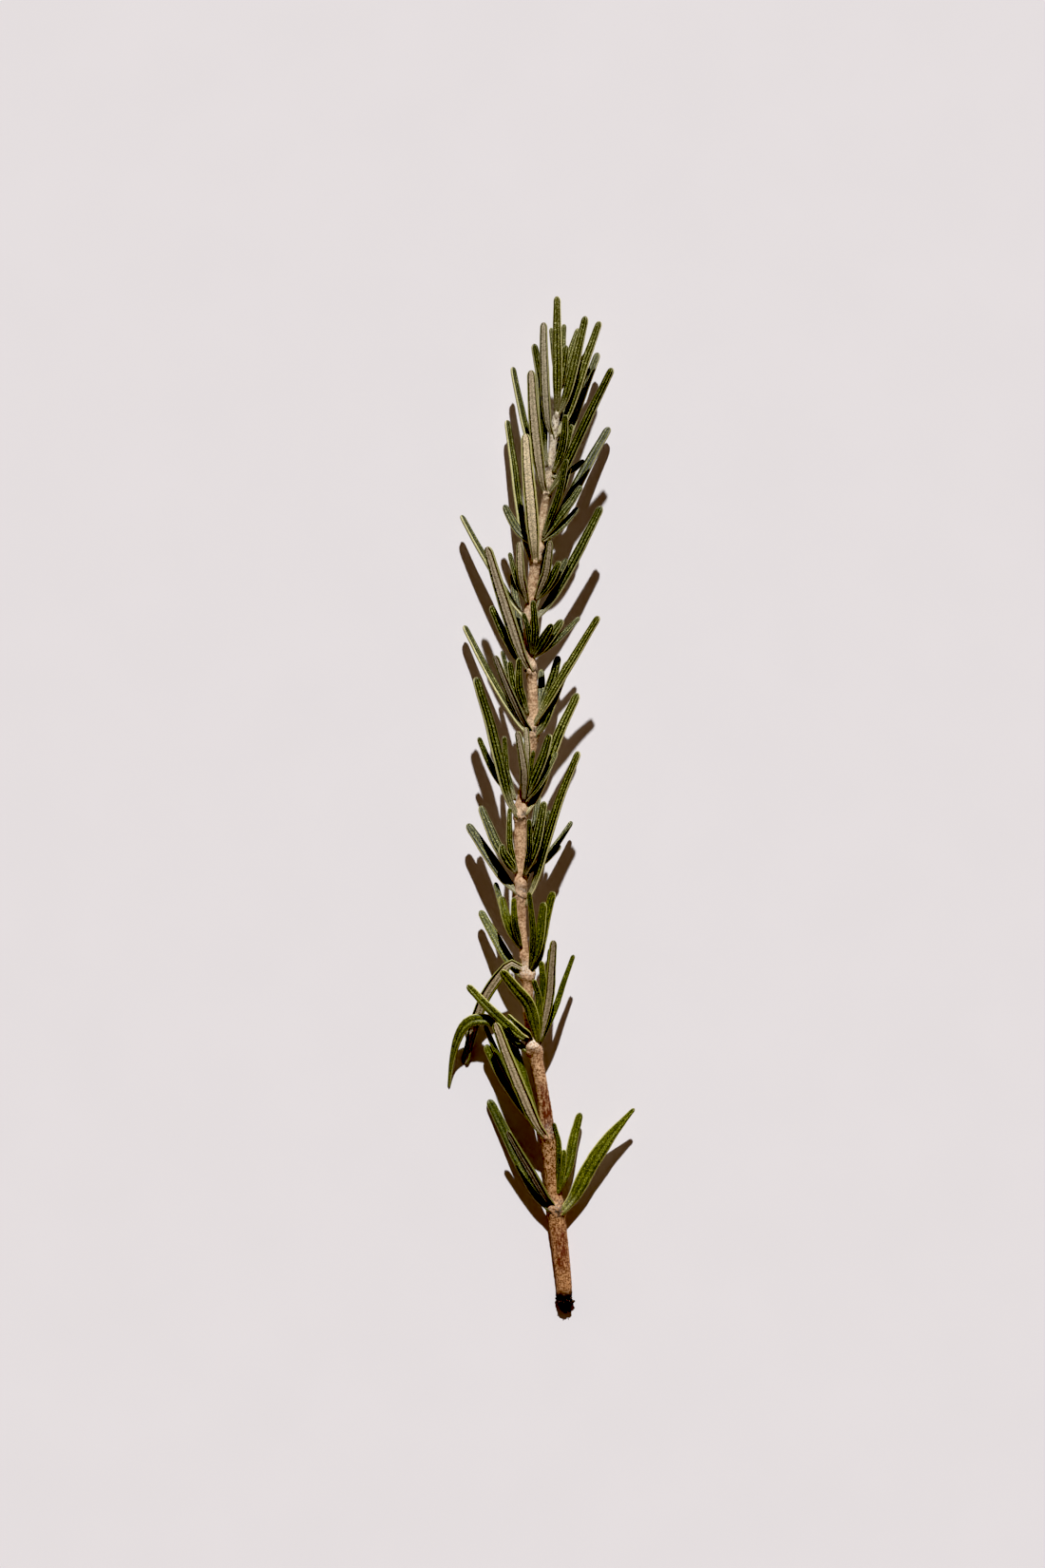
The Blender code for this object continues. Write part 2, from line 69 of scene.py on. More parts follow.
def merged_copy(node):
    """A CAD node's mesh with its loose triangles sewn together, to read places from."""
    copy = bmesh.new()
    copy.from_mesh(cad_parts[node].data)
    bmesh.ops.remove_doubles(copy, verts=copy.verts[:], dist=0.001 * MM)
    return copy


def curve_at(values, knots, at):
    """The value at this distance on a smooth line that has each value at its knot."""
    i = max(0, min(bisect.bisect_right(knots, at) - 1, len(knots) - 2))
    span = knots[i + 1] - knots[i]
    t = (at - knots[i]) / span

    def slope(k):
        before, after = max(k - 1, 0), min(k + 1, len(values) - 1)
        return (values[after] - values[before]) / (knots[after] - knots[before])

    return (
        values[i] * (2 * t**3 - 3 * t**2 + 1)
        + slope(i) * span * (t**3 - 2 * t**2 + t)
        + values[i + 1] * (3 * t**2 - 2 * t**3)
        + slope(i + 1) * span * (t**3 - t**2)
    )


def lengths_along(points):
    """The distance to each point from the first, along the points."""
    found = [0.0]
    for before, after in zip(points, points[1:]):
        found.append(found[-1] + (after - before).length)
    return found


def smooth_step(value):
    """Eases from 0 to 1 as the value goes from 0 to 1."""
    value = min(max(value, 0.0), 1.0)
    return value * value * (3 - 2 * value)


def read_stem():
    """The CAD stem's centre line, its radii, and the distance along it of each ring."""
    copy = merged_copy("stem")
    rings = []
    for place in sorted((vert.co.copy() for vert in copy.verts), key=lambda co: co.y):
        if not rings or place.y - rings[-1][-1].y > RING_GAP:
            rings.append([])
        rings[-1].append(place)
    copy.free()
    middles = [sum(ring, Vector()) / len(ring) for ring in rings]
    radii = [
        sum((place - middle).length for place in ring) / len(ring)
        for ring, middle in zip(rings, middles)
    ]
    return middles, radii, lengths_along(middles)


stem_line, stem_radii, stem_knots = read_stem()
stem_length = stem_knots[-1]
stem_start = stem_line[0].y


def stem_at(distance):
    """The stem's middle, its direction and its radius at this distance from the cut end."""
    place = curve_at(stem_line, stem_knots, distance)
    ahead = curve_at(stem_line, stem_knots, min(distance + DIRECTION_STEP, stem_length))
    behind = curve_at(stem_line, stem_knots, max(distance - DIRECTION_STEP, 0.0))
    return place, (ahead - behind).normalized(), curve_at(stem_radii, stem_knots, distance)


def nearest_on_stem(point):
    """The distance along the stem of the place nearest to a point."""
    low, high = 0.0, stem_length
    for _ in range(40):
        third = (high - low) / 3
        near = (stem_at(low + third)[0] - point).length
        far = (stem_at(high - third)[0] - point).length
        low, high = (low, high - third) if near < far else (low + third, high)
    return 0.5 * (low + high)


def read_ring(places):
    """A ring's middle, its half width, half thickness and the way its flat side looks."""
    spots = np.array([tuple(place) for place in places])
    middle = spots.mean(0)
    sizes, ways = np.linalg.eigh(np.cov((spots - middle).T, bias=True))
    half_thickness, half_width = np.sqrt(2 * np.maximum(sizes[1:], 0.0))
    return Vector(middle), half_width, half_thickness, Vector(ways[:, 1])


def rings_below(tip, sides):
    """The rings of a CAD leaf, from its foot to just below its tip, while they are whole."""
    rings, seen, level = [], {tip}, [tip]
    while True:
        level = {e.other_vert(v) for v in level for e in v.link_edges} - seen
        if len(level) != sides:
            return rings[::-1]
        seen |= level
        rings.append(read_ring([vert.co for vert in level]))


def foot_of(verts):
    """Of these corners of a leaf or a shoot, the one that is nearest to the stem."""
    nearest = min(verts, key=lambda vert: min((vert.co - place).length for place in stem_fine))
    return nearest.co.copy()


FINE_STEPS = 400
stem_fine = [stem_at(stem_length * i / FINE_STEPS)[0] for i in range(FINE_STEPS + 1)]
LEAF_SIDES, SHOOT_LEAF_SIDES = 8, 6  # corners of one ring of a CAD leaf
SHORTEST_SHOOT_LEAF = 4.6 * MM  # from the shoot's base to the leaf's tip
STALK_REACH = 2.0 * MM  # a shoot starts this close to its lowest point
STALK_FOOT = 0.9 * MM  # what lies this close to a shoot's foot belongs to its stalk


def read_leaf(node):
    """A CAD leaf's rings, foot first, and its tip."""
    copy = merged_copy(node)
    foot = foot_of(copy.verts)
    tip = max(copy.verts, key=lambda vert: (vert.co - foot).length)
    found = rings_below(tip, LEAF_SIDES), tip.co.copy()
    copy.free()
    return found


def read_shoot(node):
    """Where a CAD side shoot leaves the stem, and (rings, tip) of each of its leaves."""
    copy = merged_copy(node)
    lowest = min(vert.co.y for vert in copy.verts)
    foot = foot_of([vert for vert in copy.verts if vert.co.y < lowest + STALK_REACH])
    near = [vert.co for vert in copy.verts if (vert.co - foot).length < STALK_FOOT]
    base = sum(near, Vector()) / len(near)
    leaves = []
    for vert in copy.verts:
        reach = (vert.co - base).length
        others = [edge.other_vert(vert).co for edge in vert.link_edges]
        if reach > SHORTEST_SHOOT_LEAF and all((co - base).length < reach for co in others):
            leaves.append((rings_below(vert, SHOOT_LEAF_SIDES), vert.co.copy()))
    copy.free()
    leaves.sort(key=lambda leaf: -leaf[1].y)
    return base, leaves


leaf_nodes = sorted(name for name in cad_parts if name.startswith("leaf_"))
shoot_nodes = sorted(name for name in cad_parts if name.startswith("shoot_"))
cad_leaves = {name: read_leaf(name) for name in leaf_nodes}
cad_shoots = {name: read_shoot(name) for name in shoot_nodes}

# Where each leaf and shoot joins the stem: distance along it, and the way out of it.
feet = {}
for name in leaf_nodes + shoot_nodes:
    place = cad_leaves[name][0][0][0] if name in cad_leaves else cad_shoots[name][0]
    distance = nearest_on_stem(place)
    middle, direction, _ = stem_at(distance)
    out = place - middle
    feet[name] = distance, (out - direction * out.dot(direction)).normalized()

# The joints are numbered from the cut end; the leaves carry their joint's number.
joints = {}
for name in leaf_nodes:
    joints.setdefault(int(name.split("_")[1]), []).append(feet[name][0])
joints = {number: sum(found) / len(found) for number, found in joints.items()}


def roll(shape, columns, rows, place):
    """Rolls a flat sheet into a tube: place(column, row) says where each point goes."""
    made = bmesh.ops.create_grid(
        shape, x_segments=columns, y_segments=rows, size=0.5, calc_uvs=True
    )["verts"]
    for vert in made:
        column = round((vert.co.x + 0.5) * columns)
        row = round((vert.co.y + 0.5) * rows)
        vert.co = place(column, row)
    return made


def sew(shape, made):
    """Joins a rolled sheet's long seam and closes its two ends."""
    bmesh.ops.remove_doubles(shape, verts=made, dist=0.0004 * MM)


def new_shape():
    """An empty shape with its own map, which roll fills in."""
    shape = bmesh.new()
    shape.loops.layers.uv.new("sheet")
    return shape


def finished(shape, name, material, node):
    """Makes a shape a piece of the sprig, which stands for this CAD node."""
    for vert in shape.verts:
        vert.co.z = max(vert.co.z, 0.0)  # nothing sinks into the table
    bmesh.ops.recalc_face_normals(shape, faces=shape.faces[:])
    mesh = bpy.data.meshes.new(name)
    shape.to_mesh(mesh)
    shape.free()
    mesh.shade_smooth()
    mesh.materials.append(material)
    piece = bpy.data.objects.new(name, mesh)
    bpy.context.scene.collection.objects.link(piece)
    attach(piece, "root")
    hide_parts(node)


FOOT_CUSHION = 0.26 * MM  # how far the bark swells under a leaf's foot
FOOT_REACH = 0.9 * MM
RIDGE_HEIGHT, RIDGE_LENGTH = 0.09 * MM, 6.0 * MM
JOINT_SWELLING, JOINT_REACH = 0.20 * MM, 1.1 * MM
BARK_FIBRE, BARK_GRAIN, BARK_FULLNESS = 0.05 * MM, 0.08 * MM, 0.12 * MM
WOOL = {3: 1.0, 4: 0.9}  # how thick the down lies at a joint; it is thin at the others
THIN_WOOL = 0.35
CUT_LENGTH = 1.7 * MM  # the black torn stretch at the cut end
CUT_ROUGHNESS = 0.45 * MM
RAGGEDNESS, RAGGED_COLUMNS = 0.9 * MM, 8  # how far the cut end is torn lengthwise


def stem_frame(distance):
    """The stem's middle, its direction, its sideways, its upward and its radius here."""
    place, direction, radius = stem_at(distance)
    side = direction.cross(Vector((0, 0, 1))).normalized()
    return place, direction, side, side.cross(direction), radius


def closeness(gap, reach):
    """1 at a place, falling to nothing a few reaches away from it."""
    return math.exp(-((gap / reach) ** 2))


def bark_height(distance, out, place):
    """How far the bark stands out from the CAD stem's radius here."""
    spot = place / MM
    around = math.atan2(out.z, out.x)
    fibre = Vector((math.cos(around) * 3.2, distance / MM * 0.28, math.sin(around) * 3.2))
    height = BARK_FULLNESS * (1 - distance / stem_length) + BARK_FIBRE * noise.noise(fibre)
    height += BARK_GRAIN * noise.fractal(spot * 1.9, 1.0, 2.0, 3)
    for foot, way in feet.values():
        gap = distance - foot
        if not -RIDGE_LENGTH < gap < 3 * FOOT_REACH:
            continue
        facing = max(out.dot(way), 0.0)
        height += FOOT_CUSHION * closeness(gap, FOOT_REACH) * facing**4
        if gap < 0:
            height += RIDGE_HEIGHT * (1 + gap / RIDGE_LENGTH) * facing**14
    for number, joint in joints.items():
        gap = distance - joint + 0.5 * MM
        if abs(gap) < 2.5 * JOINT_REACH:
            wool = WOOL.get(number, 0.0)
            lumps = 0.4 + 0.4 * wool + (1 - 0.7 * wool) * noise.fractal(spot * 2.2, 0.8, 2.0, 3)
            height += JOINT_SWELLING * (1 + wool) * closeness(gap, JOINT_REACH) * lumps
    torn = 1 - smooth_step((distance - 0.5 * CUT_LENGTH) / (0.7 * CUT_LENGTH))
    return height + torn * CUT_ROUGHNESS * noise.fractal(spot * 1.1, 1.0, 2.0, 4)


def stem_point(column, row):
    """Where a point of the bark's sheet goes: columns run along the stem, rows round it."""
    share = column / STEM_COLUMNS
    ends = min(column, STEM_COLUMNS - column)
    place, direction, side, normal, radius = stem_frame(share * stem_length)
    angle = 2 * math.pi * (row % STEM_ROWS) / STEM_ROWS - 0.5 * math.pi
    out = side * math.cos(angle) + normal * math.sin(angle)
    if ends == 0:
        return place
    radius += bark_height(share * stem_length, out, place + out * radius)
    radius *= {1: 0.45, 2: 0.85}.get(ends, 1.0)
    ragged = noise.noise((place + out * radius) / MM * 2.3) * RAGGEDNESS
    lengthwise = ragged * max(0.0, 1 - column / RAGGED_COLUMNS)
    return place + out * radius + direction * lengthwise


def socket(tree, value, to):
    """Links another node's output to an input, or sets the input's own value."""
    if isinstance(value, bpy.types.NodeSocket):
        tree.links.new(value, to)
    elif isinstance(value, tuple) and to.type == "RGBA":
        to.default_value = (*value, 1.0)
    else:
        to.default_value = value


def texture(tree, kind, vector, scale, **settings):
    """A noise or cell texture; settings are its own properties or its inputs."""
    made = tree.nodes.new("ShaderNodeTex" + kind)
    socket(tree, vector, made.inputs["Vector"])
    made.inputs["Scale"].default_value = scale
    for name, value in settings.items():
        if name.islower():
            setattr(made, name, value)
        else:
            made.inputs[name].default_value = value
    return made.outputs["Distance" if kind == "Voronoi" else 0]


def ramp(tree, value, *stops):
    """Colours or grey levels (place, colour) that follow a value."""
    made = tree.nodes.new("ShaderNodeValToRGB")
    tree.links.new(value, made.inputs["Fac"])
    while len(made.color_ramp.elements) < len(stops):
        made.color_ramp.elements.new(1.0)
    for element, (place, colour) in zip(made.color_ramp.elements, stops):
        element.position = place
        colour = colour if isinstance(colour, tuple) else (colour,) * 3
        element.color = (*colour, 1.0)
    return made.outputs["Color"]


def mixed(tree, share, first, second, blend="MIX"):
    """This share of the second colour over the first, or the two multiplied."""
    made = tree.nodes.new("ShaderNodeMix")
    made.data_type, made.blend_type = "RGBA", blend
    socket(tree, share, made.inputs[0])
    socket(tree, first, made.inputs[6])
    socket(tree, second, made.inputs[7])
    return made.outputs[2]


def maths(tree, operation, first, second=0.0):
    """A sum, product or other operation on two values."""
    made = tree.nodes.new("ShaderNodeMath")
    made.operation = operation
    socket(tree, first, made.inputs[0])
    socket(tree, second, made.inputs[1])
    return made.outputs[0]


def new_material(name, roughness):
    """A material with one Principled shader: (its node tree, the shader, object coordinates)."""
    material = bpy.data.materials.new(name)
    material.use_nodes = True
    tree = material.node_tree
    shader = tree.nodes["Principled BSDF"]
    shader.inputs["Roughness"].default_value = roughness
    where = tree.nodes.new("ShaderNodeTexCoord").outputs["Object"]
    return material, tree, shader, where


def bumped(tree, shader, height, distance):
    """Raises the surface's light and shade by a height, over this distance."""
    made = tree.nodes.new("ShaderNodeBump")
    made.inputs["Strength"].default_value = 1.0
    made.inputs["Distance"].default_value = distance
    tree.links.new(height, made.inputs["Height"])
    tree.links.new(made.outputs["Normal"], shader.inputs["Normal"])


def attribute(tree, name):
    """A value that the piece carries at each of its points."""
    made = tree.nodes.new("ShaderNodeAttribute")
    made.attribute_name = name
    return made.outputs["Fac"]


def sheet_map(tree):
    """The piece's own map: how far along it a point lies, and how far round it."""
    made = tree.nodes.new("ShaderNodeUVMap")
    made.uv_map = "sheet"
    parts = tree.nodes.new("ShaderNodeSeparateXYZ")
    tree.links.new(made.outputs["UV"], parts.inputs[0])
    return parts.outputs["X"], parts.outputs["Y"]


def make_bark():
    """Granular brown bark that turns pink-beige up the stem, with down at the joints."""
    material, tree, shader, where = new_material("bark", 0.85)
    along, _ = sheet_map(tree)
    ground = ramp(
        tree,
        along,
        (0.0, (0.010, 0.006, 0.004)),
        (0.008, (0.020, 0.011, 0.006)),
        (0.016, (0.47, 0.235, 0.105)),
        (0.12, (0.54, 0.295, 0.140)),
        (0.20, (0.59, 0.360, 0.195)),
        (0.45, (0.62, 0.415, 0.260)),
        (0.80, (0.60, 0.430, 0.280)),
        (0.92, (0.60, 0.500, 0.350)),
        (1.0, (0.64, 0.610, 0.430)),
    )
    patchy = ramp(tree, texture(tree, "Noise", where, 1100.0, Detail=3.0), (0.45, 0.0), (0.62, 0.5))
    ground = mixed(tree, patchy, ground, (0.27, 0.120, 0.052))
    grain = texture(tree, "Noise", where, 3100.0, Detail=3.0)
    rough = ramp(tree, along, (0.18, 1.0), (0.40, 0.55))
    dark = maths(tree, "MULTIPLY", ramp(tree, grain, (0.48, 0.0), (0.58, 1.0)), rough)
    light = ramp(tree, grain, (0.34, 0.3), (0.46, 0.0))
    colour = mixed(tree, dark, ground, (0.150, 0.062, 0.026))
    colour = mixed(tree, light, colour, (0.74, 0.52, 0.35))
    flecks = ramp(tree, texture(tree, "Noise", where, 1100.0, Detail=3.0), (0.48, 0.0), (0.54, 1.0))
    flecks = maths(tree, "MULTIPLY", flecks, attribute(tree, "joint"))
    colour = mixed(tree, flecks, colour, (0.050, 0.024, 0.012))
    streak = attribute(tree, "scar")
    colour = mixed(tree, streak, colour, (0.120, 0.036, 0.022))
    down = attribute(tree, "down")
    fluff = texture(tree, "Noise", where, 3000.0, Detail=3.0)
    down = maths(tree, "MULTIPLY", down, ramp(tree, fluff, (0.40, 0.1), (0.60, 1.0)))
    colour = mixed(tree, down, colour, (0.74, 0.66, 0.55))
    wet = ramp(tree, along, (0.007, 1.0), (0.012, 0.0))
    colour = mixed(tree, wet, colour, (0.012, 0.007, 0.005))
    tree.links.new(colour, shader.inputs["Base Color"])
    bumped(tree, shader, grain, 0.07 * MM)
    return material


SCARS = (  # torn reddish stretches of bark: from, to in mm along the stem, degrees round it
    (5.0, 14.0, 78),
    (29.0, 39.5, 66),
)


def scar_depth(distance, out):
    """How much of the bark is rubbed off here, down to the red-brown wood."""
    found = 0.0
    for start, end, degrees in SCARS:
        middle, half = 0.5 * (start + end) * MM, 0.5 * (end - start) * MM
        way = Vector((math.cos(math.radians(degrees)), 0, math.sin(math.radians(degrees))))
        lengthwise = 1 - smooth_step((abs(distance - middle) / half - 0.6) / 0.5)
        across = smooth_step((out.dot(way) - 0.5) / 0.3)
        found = max(found, lengthwise * across)
    return found


def down_at(distance):
    """How much down lies on the bark here: at the joints, and all over the soft tip."""
    found = smooth_step((distance / stem_length - 0.90) / 0.06)
    for number, joint in joints.items():
        near = closeness(distance - joint - 0.4 * MM, 1.2 * MM)
        found = max(found, WOOL.get(number, THIN_WOOL) * near)
    return found


shape = new_shape()
down_layer = shape.verts.layers.float.new("down")
scar_layer = shape.verts.layers.float.new("scar")
joint_layer = shape.verts.layers.float.new("joint")
made = roll(shape, STEM_COLUMNS, STEM_ROWS, stem_point)
for vert in made:
    distance = (vert.co.y - stem_start) * stem_length / (stem_line[-1].y - stem_start)
    distance = min(max(distance, 0.0), stem_length)
    out = (vert.co - stem_at(distance)[0]).normalized()
    streaky = noise.noise(Vector((vert.co.x / MM * 4, vert.co.y / MM * 0.7, vert.co.z / MM * 4)))
    vert[scar_layer] = scar_depth(distance, out) * smooth_step(0.7 + 2.2 * streaky)
    vert[down_layer] = down_at(distance)
    vert[joint_layer] = max(
        (1 - WOOL.get(number, 0.0)) * closeness(distance - joint + 0.6 * MM, 1.4 * MM)
        for number, joint in joints.items()
    )
sew(shape, made)
finished(shape, "stem_bark", make_bark(), "stem")

# Loose on the bark: woolly hairs at the joints and the tip, torn fibres and lumps of wet
# bark round the cut end, and a few dry scales of old buds that cling to the stem. The
# near-black fibres and lumps are partly painted shadow: those ahead of the cut end lie
# where its shadow falls on the table.
STRAND_COLUMNS, STRAND_ROWS = 5, 3
HAIR_RADIUS, FIBRE_RADIUS, SCALE_RADIUS = 0.020 * MM, 0.17 * MM, 0.14 * MM
JOINT_HAIRS, TIP_HAIRS, FIBRES = 70, 340, 22  # at the woolliest joint, at the tip, at the cut
DOWNY_TIP = 0.11  # the share of the stem at its tip that is downy all over
SCALES = (  # distance along the stem in mm, degrees round it, length in mm
    (17.0, 20, 1.0),
    (17.6, 48, 0.7),
    (27.3, 60, 0.9),
    (73.6, 40, 1.4),
    (77.0, 55, 1.7),
    (101.0, 70, 1.0),
    (131.0, 100, 0.9),
)
LUMPS = (  # of torn wet bark at the cut end, and a painted shadow where they lie ahead of it: across and up in stem radii, ahead and size in mm
    (0.35, 0.25, -0.1, 0.765),
    (-0.55, -0.05, 0.25, 0.675),
    (0.85, -0.35, 0.35, 0.495),
    (-0.15, -0.25, 0.9, 0.63),
    (0.30, -0.50, 1.3, 0.405),
    (-0.45, -0.55, 1.5, 0.405),
    (0.05, -0.60, 1.9, 0.405),
    (0.60, -0.65, 1.8, 0.27),
    (-1.00, -0.45, -0.3, 0.405),
)
LUMP_ROUGHNESS = 0.85


def strand(shape, places, radius):
    """Adds one hair, fibre or scale: a thin three-sided tube that is pointed at both ends."""
    knots = lengths_along(places)

    def place_point(column, row):
        share = column / STRAND_COLUMNS
        at = share * knots[-1]
        middle = curve_at(places, knots, at)
        ahead = curve_at(places, knots, min(at + 0.02 * MM, knots[-1]))
        along = (ahead - curve_at(places, knots, max(at - 0.02 * MM, 0.0))).normalized()
        side = along.orthogonal().normalized()
        turn = 2 * math.pi * (row % STRAND_ROWS) / STRAND_ROWS
        side.rotate(Matrix.Rotation(turn, 3, along))
        return middle + side * radius * math.sqrt(math.sin(math.pi * share))

    sew(shape, roll(shape, STRAND_COLUMNS, STRAND_ROWS, place_point))


def on_bark(distance, degrees, height=0.0):
    """A place on the bark: (place, way out, way along the stem)."""
    middle, direction, side, normal, radius = stem_frame(distance)
    angle = math.radians(degrees)
    out = side * math.cos(angle) + normal * math.sin(angle)
    return middle + out * (radius + height), out, direction


def grow_hair(shape, rng, distance, degrees, reach):
    """Adds a hair that leans up the stem and curls over."""
    start, out, direction = on_bark(distance, degrees, -0.05 * MM)
    across = out.cross(direction)
    lean = out * rng.uniform(0.2, 0.9) + direction * rng.uniform(0.3, 1.0)
    lean += across * rng.uniform(-0.8, 0.8)
    bend = out * rng.uniform(-0.9, 0.1) + across * rng.uniform(-0.8, 0.8) + direction * 0.5
    middle = start + lean * 0.45 * reach
    strand(shape, [start, middle, start + (lean * 0.7 + bend * 0.4) * reach], HAIR_RADIUS)


def make_fuzz(name, dark, light, roughness):
    """A plain fibrous stuff, uneven from strand to strand."""
    material, tree, shader, where = new_material(name, roughness)
    uneven = texture(tree, "Noise", where, 700.0, Detail=3.0)
    tree.links.new(ramp(tree, uneven, (0.35, dark), (0.65, light)), shader.inputs["Base Color"])
    return material


down_look = make_fuzz("down", (0.62, 0.54, 0.42), (0.93, 0.89, 0.80), 0.9)
# near black: torn wood, and partly a painted shadow round the cut end
torn_and_shadow_look = make_fuzz("torn_wood_and_painted_shadow", (0.006, 0.004, 0.003), (0.055, 0.026, 0.012), 0.7)

rng = random.Random(5)
shape = new_shape()
for number, joint in joints.items():
    for _ in range(round(JOINT_HAIRS * WOOL.get(number, THIN_WOOL))):
        distance = joint + rng.gauss(0.4, 0.9) * MM
        grow_hair(shape, rng, distance, rng.uniform(0, 360), rng.uniform(0.4, 1.0) * MM)
for _ in range(TIP_HAIRS):
    distance = stem_length * (1 - DOWNY_TIP * rng.random())
    grow_hair(shape, rng, distance, rng.uniform(0, 360), rng.uniform(0.4, 1.1) * MM)
finished(shape, "stem_fuzz", down_look, "stem")

shape = new_shape()
for _ in range(FIBRES):
    start, out, direction = on_bark(rng.uniform(0.1, 1.4) * MM, rng.uniform(-20, 200), -0.3 * MM)
    lean = out * rng.uniform(0.2, 0.8) - direction * rng.uniform(0.5, 1.6)
    end = start + (lean * 0.5 + out * rng.uniform(-0.1, 0.3)) * MM
    strand(shape, [start, start + lean * 0.3 * MM, end], FIBRE_RADIUS * rng.uniform(0.5, 1.5))
end, _, side, normal, radius = stem_frame(0.0)
for across, up, ahead, size in LUMPS:
    place = end + (side * across + normal * up) * radius - Vector((0, ahead, 0)) * MM
    lump = bmesh.ops.create_icosphere(shape, subdivisions=4, radius=size * MM)["verts"]
    for vert in lump:
        rough = noise.fractal((vert.co + place) / MM * 1.6, 0.9, 2.0, 4)
        vert.co = place + vert.co * (1 + LUMP_ROUGHNESS * rough)
for distance, degrees, length in SCALES:
    start, out, direction = on_bark(distance * MM, degrees)
    across = out.cross(direction) * rng.uniform(-0.3, 0.3)
    lean = (direction + across) * length * MM
    places = [start, start + lean * 0.5 + out * 0.12 * MM, start + lean + out * 0.35 * MM]
    strand(shape, places, SCALE_RADIUS)
finished(shape, "stem_torn_bits_and_painted_shadow", torn_and_shadow_look, "stem")

# ---------------------------------------------------------------------------- the leaves
# Rosemary leaves are stiff needles with both margins rolled under. The top is dark green,
# grainy, with a groove down its middle; underneath, grey-white felt shows between the
# margins with the midrib down it. Each grows straight out of the stem at a joint.
LEAF_COLUMNS = 30
# Half a leaf cut across, in half widths and half thicknesses: from the midrib underneath,
# over the felt, round the rolled margin, to the groove on top.
HALF_SECTION = (
    (0.00, -0.50),
    (0.08, -0.44),
    (0.15, -0.26),
    (0.46, -0.22),
    (0.60, -0.34),
    (0.66, -0.84),
    (0.82, -1.00),
    (0.95, -0.66),
    (1.00, -0.06),
    (0.95, 0.46),
    (0.78, 0.86),
    (0.46, 0.98),
    (0.16, 0.82),
    (0.00, 0.46),
)
SECTION = HALF_SECTION + tuple((-x, y) for x, y in HALF_SECTION[-2::-1])
LEAF_ROWS = len(SECTION) - 1
FOOT_SHARE = 0.44  # a leaf's foot is this share of its full width
UNDERSIDE_UP = {
    "leaf_01_front",
    "leaf_02_front",
    "leaf_04_bent",
    "leaf_07_front",
    "leaf_08_front",
    "leaf_10_front",
    "leaf_11_front",
    "leaf_13_left",
}
POINTED = {"leaf_01_right", "leaf_03_drooping"}
CLASP = 0.9  # how far a foot reaches round the stem towards its upper side
FEWEST_BENT_RINGS = 8  # the CAD leaves that bend have at least this many rings
MOST_TWIST = 0.2  # of a leaf along its length, in radians


def blade_width(share, length, half_width, pointed):
    """A leaf's width at this share of its length: narrow foot, even blade, blunt tip."""
    foot = FOOT_SHARE + (1 - FOOT_SHARE) * smooth_step(share / 0.36)
    drop, reach = (0.78, 0.56) if pointed else (0.28, 0.5)
    taper = 1 - drop * smooth_step((share - 0.52) / reach)
    cap = 1.6 * half_width * taper / length
    into = max(0.0, share - (1 - cap)) / cap
    return foot * taper * math.sqrt(max(0.0, 1 - into**2.2))


def blade(shape, points, normals, half_width, half_thickness, tone, rng, pointed=False):
    """Adds one leaf along points; normals say which way its upper face looks at each."""
    knots = lengths_along(points)
    length = knots[-1]
    turn = rng.uniform(-MOST_TWIST, MOST_TWIST)
    wave = rng.uniform(0, 10)
    frames = []
    for column in range(LEAF_COLUMNS + 1):
        share = 1 - (1 - column / LEAF_COLUMNS) ** 1.5
        at = share * length
        place = curve_at(points, knots, at)
        step = 0.01 * length
        along = (
            curve_at(points, knots, min(at + step, length))
            - curve_at(points, knots, max(at - step, 0.0))
        ).normalized()
        normal = curve_at(normals, knots, at)
        normal = (normal - along * normal.dot(along)).normalized()
        normal.rotate(Matrix.Rotation(turn * (share - 0.4), 3, along))
        wide = blade_width(share, length, half_width, pointed)
        if column == 0:
            wide = 0.0
        thick = wide * (0.55 + 0.45 / max(wide, 0.45)) if wide else 0.0
        drift = 0.06 * noise.noise(Vector((share * 5, wave, 0)))
        side = normal.cross(along)
        frames.append((place, side, normal, wide * half_width, thick * half_thickness, drift))

    def place_point(column, row):
        place, side, normal, wide, thick, drift = frames[column]
        x, y = SECTION[row]
        uneven = 1 + 0.05 * noise.noise(Vector((column * 0.7, wave + x * 0.8, 3)))
        return place + side * (x * uneven + drift) * wide + normal * y * thick

    made = roll(shape, LEAF_COLUMNS, LEAF_ROWS, place_point)
    for vert in made:
        vert[tone_layer] = tone
    sew(shape, made)


def face_up(normal, underside_up):
    """The way a leaf's upper face looks: up, unless it lies with its underside up."""
    return normal if (normal.z > 0) != underside_up else -normal


def clasping_foot(name, depth, back):
    """A place in the bark where a leaf starts: its foot clasps the stem from the upper side."""
    distance, out = feet[name]
    middle, direction, radius = stem_at(distance - back * MM)
    above = out + Vector((0, 0, CLASP)) if out.z > -0.4 else out
    above = (above - direction * above.dot(direction)).normalized()
    return middle + above * radius * depth


